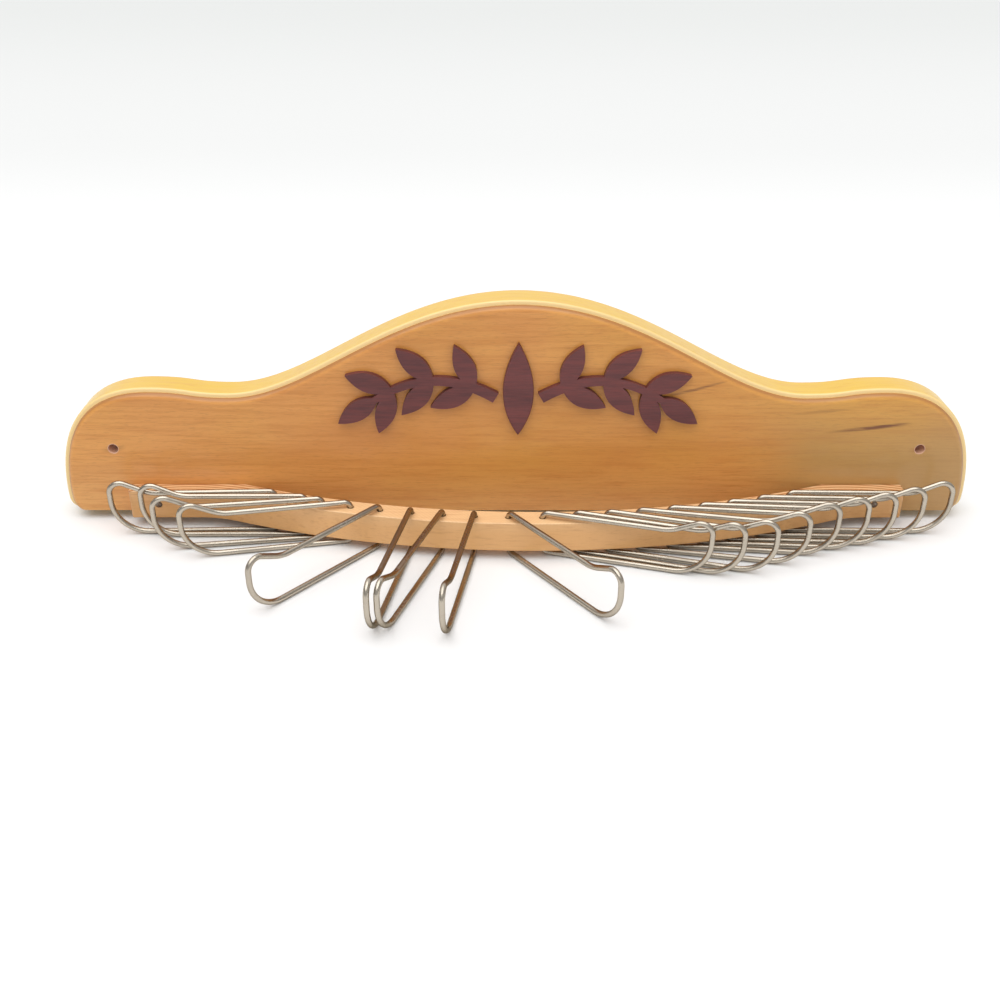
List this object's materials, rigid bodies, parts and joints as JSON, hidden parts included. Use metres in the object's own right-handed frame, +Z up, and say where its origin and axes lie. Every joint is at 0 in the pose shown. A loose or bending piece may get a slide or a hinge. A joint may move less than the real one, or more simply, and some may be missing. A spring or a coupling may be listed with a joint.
{
  "type": "wall-mounted tie rack",
  "caption": "Varnished wooden plaque with a bowed rail below it that carries a row of swivelling wire loops for neckties, screwed to a wall.",
  "frame": {"origin": "on the board's flat back, midway between the two wall-screw holes", "axes": "+X along the board to the right as seen from the front, +Y into the wall, +Z up"},
  "size_m": [0.46, 0.1345, 0.1162],
  "materials": {
    "board_wood": "clear varnish, satin",
    "rail_wood": "clear varnish, satin",
    "overlay_wood": "oiled",
    "nail_steel": "bare",
    "hook_wire": "nickel plate"
  },
  "bodies": {
    "rack": {"back_board": "board_wood", "bow_rail": "rail_wood", "rail_nail_left": "nail_steel", "rail_nail_right": "nail_steel", "sprig_left": "overlay_wood", "sprig_right": "overlay_wood", "centre_leaf": "overlay_wood"},
    "hook_01_body": {"hook_01": "hook_wire"},
    "hook_02_body": {"hook_02": "hook_wire"},
    "hook_03_body": {"hook_03": "hook_wire"},
    "hook_04_body": {"hook_04": "hook_wire"},
    "hook_05_body": {"hook_05": "hook_wire"},
    "hook_06_body": {"hook_06": "hook_wire"},
    "hook_07_body": {"hook_07": "hook_wire"},
    "hook_08_body": {"hook_08": "hook_wire"},
    "hook_09_body": {"hook_09": "hook_wire"},
    "hook_10_body": {"hook_10": "hook_wire"},
    "hook_11_body": {"hook_11": "hook_wire"},
    "hook_12_body": {"hook_12": "hook_wire"},
    "hook_13_body": {"hook_13": "hook_wire"},
    "hook_14_body": {"hook_14": "hook_wire"},
    "hook_15_body": {"hook_15": "hook_wire"},
    "hook_16_body": {"hook_16": "hook_wire"},
    "hook_17_body": {"hook_17": "hook_wire"},
    "hook_18_body": {"hook_18": "hook_wire"}
  },
  "joints": [
    {"name": "hook_01_swivel", "type": "hinge", "parent": "rack", "child": "hook_01_body", "pos_m": [-0.1205, -0.03229, -0.02735], "axis": [0, 0, 1], "range_deg": [-0.5, 45]},
    {"name": "hook_02_swivel", "type": "hinge", "parent": "rack", "child": "hook_02_body", "pos_m": [-0.1045, -0.03745, -0.02735], "axis": [0, 0, 1], "range_deg": [-0.5, 45]},
    {"name": "hook_03_swivel", "type": "hinge", "parent": "rack", "child": "hook_03_body", "pos_m": [-0.096, -0.03989, -0.02735], "axis": [0, 0, 1], "range_deg": [-0.5, 45]},
    {"name": "hook_04_swivel", "type": "hinge", "parent": "rack", "child": "hook_04_body", "pos_m": [-0.082, -0.04347, -0.02735], "axis": [0, 0, 1], "range_deg": [-0.5, 45]},
    {"name": "hook_05_swivel", "type": "hinge", "parent": "rack", "child": "hook_05_body", "pos_m": [-0.0674, -0.04662, -0.02735], "axis": [0, 0, 1], "range_deg": [-38, 37]},
    {"name": "hook_06_swivel", "type": "hinge", "parent": "rack", "child": "hook_06_body", "pos_m": [-0.052, -0.04933, -0.02735], "axis": [0, 0, 1], "range_deg": [-36, 0.8]},
    {"name": "hook_07_swivel", "type": "hinge", "parent": "rack", "child": "hook_07_body", "pos_m": [-0.0366, -0.05141, -0.02735], "axis": [0, 0, 1], "range_deg": [-0.8, 16]},
    {"name": "hook_08_swivel", "type": "hinge", "parent": "rack", "child": "hook_08_body", "pos_m": [-0.0212, -0.05288, -0.02735], "axis": [0, 0, 1], "range_deg": [-16, 50]},
    {"name": "hook_09_swivel", "type": "hinge", "parent": "rack", "child": "hook_09_body", "pos_m": [-0.0048, -0.05378, -0.02735], "axis": [0, 0, 1], "range_deg": [-53, 38]},
    {"name": "hook_10_swivel", "type": "hinge", "parent": "rack", "child": "hook_10_body", "pos_m": [0.0116, -0.05399, -0.02735], "axis": [0, 0, 1], "range_deg": [-45, 2]},
    {"name": "hook_11_swivel", "type": "hinge", "parent": "rack", "child": "hook_11_body", "pos_m": [0.027, -0.05357, -0.02735], "axis": [0, 0, 1], "range_deg": [-45, 2]},
    {"name": "hook_12_swivel", "type": "hinge", "parent": "rack", "child": "hook_12_body", "pos_m": [0.0424, -0.05254, -0.02735], "axis": [0, 0, 1], "range_deg": [-45, 2]},
    {"name": "hook_13_swivel", "type": "hinge", "parent": "rack", "child": "hook_13_body", "pos_m": [0.0578, -0.0509, -0.02735], "axis": [0, 0, 1], "range_deg": [-45, 2]},
    {"name": "hook_14_swivel", "type": "hinge", "parent": "rack", "child": "hook_14_body", "pos_m": [0.0732, -0.04865, -0.02735], "axis": [0, 0, 1], "range_deg": [-45, 2]},
    {"name": "hook_15_swivel", "type": "hinge", "parent": "rack", "child": "hook_15_body", "pos_m": [0.0886, -0.04577, -0.02735], "axis": [0, 0, 1], "range_deg": [-45, 2]},
    {"name": "hook_16_swivel", "type": "hinge", "parent": "rack", "child": "hook_16_body", "pos_m": [0.103, -0.0425, -0.02735], "axis": [0, 0, 1], "range_deg": [-45, 2]},
    {"name": "hook_17_swivel", "type": "hinge", "parent": "rack", "child": "hook_17_body", "pos_m": [0.1189, -0.03822, -0.02735], "axis": [0, 0, 1], "range_deg": [-45, 2]},
    {"name": "hook_18_swivel", "type": "hinge", "parent": "rack", "child": "hook_18_body", "pos_m": [0.1348, -0.03321, -0.02735], "axis": [0, 0, 1], "range_deg": [-45, 2]}
  ],
  "couplings": [
    {"joint": "hook_01_swivel", "follows": "hook_04_swivel", "ratio": 1},
    {"joint": "hook_02_swivel", "follows": "hook_04_swivel", "ratio": 1},
    {"joint": "hook_03_swivel", "follows": "hook_04_swivel", "ratio": 1},
    {"joint": "hook_11_swivel", "follows": "hook_10_swivel", "ratio": 1},
    {"joint": "hook_12_swivel", "follows": "hook_10_swivel", "ratio": 1},
    {"joint": "hook_13_swivel", "follows": "hook_10_swivel", "ratio": 1},
    {"joint": "hook_14_swivel", "follows": "hook_10_swivel", "ratio": 1},
    {"joint": "hook_15_swivel", "follows": "hook_10_swivel", "ratio": 1},
    {"joint": "hook_16_swivel", "follows": "hook_10_swivel", "ratio": 1},
    {"joint": "hook_17_swivel", "follows": "hook_10_swivel", "ratio": 1},
    {"joint": "hook_18_swivel", "follows": "hook_10_swivel", "ratio": 1}
  ]
}
